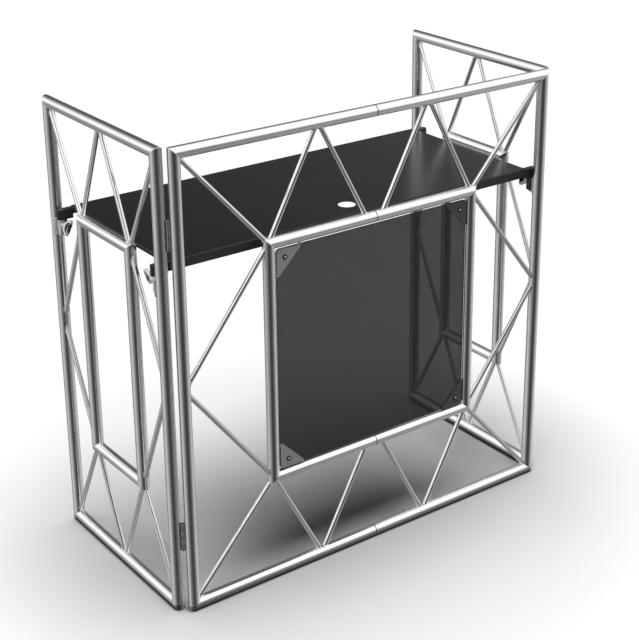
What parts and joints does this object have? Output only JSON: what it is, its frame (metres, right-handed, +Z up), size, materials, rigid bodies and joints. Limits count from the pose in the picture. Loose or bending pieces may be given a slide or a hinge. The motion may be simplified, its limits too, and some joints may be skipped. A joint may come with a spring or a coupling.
{
  "type": "folding truss dj booth",
  "caption": "Folding DJ booth of round aluminium tube: laced front frame with a smoked centre panel, two hinged laced wings and a dark folded-sheet table on clamped arms.",
  "frame": {"origin": "on the floor under the middle of the booth's bounding box", "axes": "+X to the audience's right along the front frame, +Y from the audience towards the performer, +Z up"},
  "size_m": [1.2172, 0.584, 1.2],
  "materials": {
    "tube_aluminium": "polished",
    "spigot_aluminium": "satin",
    "smoked_acrylic": "satin",
    "plate_grey": "satin",
    "screw_steel": "polished",
    "hinge_steel": "satin",
    "table_black": "satin",
    "bracket_black": "satin",
    "saddle_metal": "satin",
    "wing_screw_metal": "satin"
  },
  "bodies": {
    "front_frame": {"left_front_post": "tube_aluminium", "left_front_top_rail": "tube_aluminium", "left_front_bottom_rail": "tube_aluminium", "left_panel_post": "tube_aluminium", "left_panel_top_rail": "tube_aluminium", "left_panel_bottom_rail": "tube_aluminium", "right_front_post": "tube_aluminium", "right_front_top_rail": "tube_aluminium", "right_front_bottom_rail": "tube_aluminium", "right_panel_post": "tube_aluminium", "right_panel_top_rail": "tube_aluminium", "right_panel_bottom_rail": "tube_aluminium", "left_front_lacing": "tube_aluminium", "right_front_lacing": "tube_aluminium", "rail_spigots": "spigot_aluminium", "spigot_screws": "screw_steel", "smoked_panel": "smoked_acrylic", "corner_plates": "plate_grey", "panel_screws": "screw_steel", "panel_nuts": "screw_steel", "left_hinge_frame_leaves": "hinge_steel", "right_hinge_frame_leaves": "hinge_steel", "left_hinge_pins": "hinge_steel", "right_hinge_pins": "hinge_steel"},
    "left_wing": {"left_wing_front_post": "tube_aluminium", "left_wing_rear_post": "tube_aluminium", "left_wing_top_rail": "tube_aluminium", "left_wing_bottom_rail": "tube_aluminium", "left_wing_inner_front_post": "tube_aluminium", "left_wing_inner_rear_post": "tube_aluminium", "left_wing_inner_top_rail": "tube_aluminium", "left_wing_inner_bottom_rail": "tube_aluminium", "left_wing_lacing": "tube_aluminium", "left_hinge_wing_leaves": "hinge_steel", "left_wing_saddles": "saddle_metal", "left_saddle_flanges": "saddle_metal", "left_wing_inserts": "screw_steel"},
    "right_wing": {"right_wing_front_post": "tube_aluminium", "right_wing_rear_post": "tube_aluminium", "right_wing_top_rail": "tube_aluminium", "right_wing_bottom_rail": "tube_aluminium", "right_wing_inner_front_post": "tube_aluminium", "right_wing_inner_rear_post": "tube_aluminium", "right_wing_inner_top_rail": "tube_aluminium", "right_wing_inner_bottom_rail": "tube_aluminium", "right_wing_lacing": "tube_aluminium", "right_hinge_wing_leaves": "hinge_steel", "right_wing_saddles": "saddle_metal", "right_saddle_flanges": "saddle_metal", "right_wing_inserts": "screw_steel"},
    "table": {"table_top": "table_black", "table_brackets": "bracket_black", "bracket_legs": "bracket_black"},
    "left_front_wing_screw": {"left_front_wing_screw": "wing_screw_metal"},
    "left_rear_wing_screw": {"left_rear_wing_screw": "wing_screw_metal"},
    "right_front_wing_screw": {"right_front_wing_screw": "wing_screw_metal"},
    "right_rear_wing_screw": {"right_rear_wing_screw": "wing_screw_metal"}
  },
  "joints": [
    {"name": "left_wing_hinge", "type": "hinge", "parent": "front_frame", "child": "left_wing", "pos_m": [-0.5765, -0.2625, 0.6], "axis": [0, 0, 1], "range_deg": [0, 80]},
    {"name": "right_wing_hinge", "type": "hinge", "parent": "front_frame", "child": "right_wing", "pos_m": [0.5765, -0.2625, 0.6], "axis": [0, 0, -1], "range_deg": [0, 80]},
    {"name": "table_lift", "type": "slide", "parent": "front_frame", "child": "table", "axis": [0, 0, 1], "range_m": [0, 0.15]},
    {"name": "left_front_screw_turn", "type": "hinge", "parent": "left_wing", "child": "left_front_wing_screw", "pos_m": [-0.59099, -0.248, 0.8694], "axis": [0, 1, 0], "continuous": true},
    {"name": "left_rear_screw_turn", "type": "hinge", "parent": "left_wing", "child": "left_rear_wing_screw", "pos_m": [-0.59099, 0.277, 0.8694], "axis": [0, -1, 0], "continuous": true},
    {"name": "right_front_screw_turn", "type": "hinge", "parent": "right_wing", "child": "right_front_wing_screw", "pos_m": [0.59099, -0.248, 0.8694], "axis": [0, 1, 0], "continuous": true},
    {"name": "right_rear_screw_turn", "type": "hinge", "parent": "right_wing", "child": "right_rear_wing_screw", "pos_m": [0.59099, 0.277, 0.8694], "axis": [0, -1, 0], "continuous": true}
  ]
}
